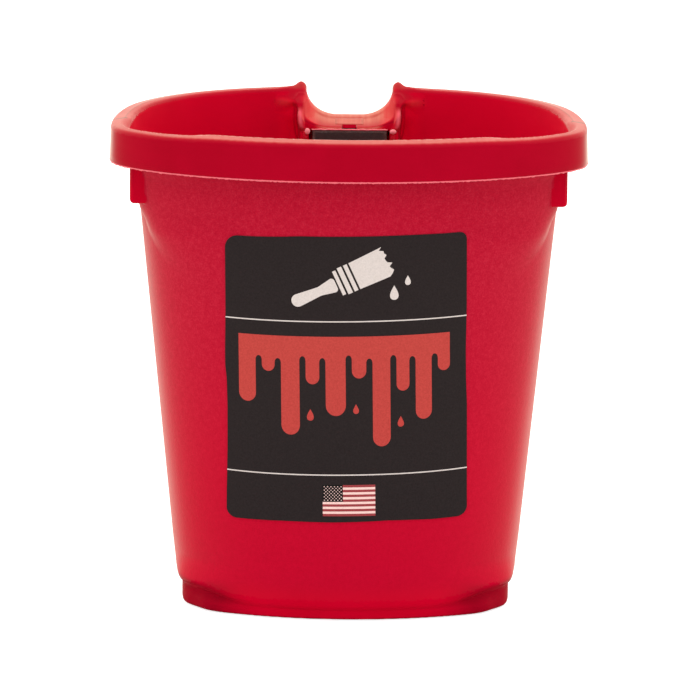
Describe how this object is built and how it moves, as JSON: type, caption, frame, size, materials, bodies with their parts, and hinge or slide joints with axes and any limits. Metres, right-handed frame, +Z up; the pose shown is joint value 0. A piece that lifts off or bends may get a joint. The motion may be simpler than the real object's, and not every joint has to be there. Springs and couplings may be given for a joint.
{
  "type": "paint cup",
  "caption": "Oval hand-held plastic paint cup with an overhanging rim, an open hook handle, a thumb notch, a brush-holding bar magnet on the rear inside wall and a printed front label.",
  "frame": {"origin": "middle of the overall bounding box, on the plane the foot stands on", "axes": "+Z up, out of the cup's mouth; -Y towards the front with the label; +Y towards the handle; +X to the right seen from the front"},
  "size_m": [0.1198, 0.1064, 0.1243],
  "materials": {
    "red_plastic": "satin moulded, fine spark texture on the outside wall",
    "ferrite": "sintered ferrite, matt dark brown-black",
    "label_sheet": "printed film label, satin black with white and red print"
  },
  "bodies": {
    "root": {"cup_body": "red_plastic", "brush_magnet": "ferrite", "front_label": "label_sheet"}
  },
  "joints": []
}
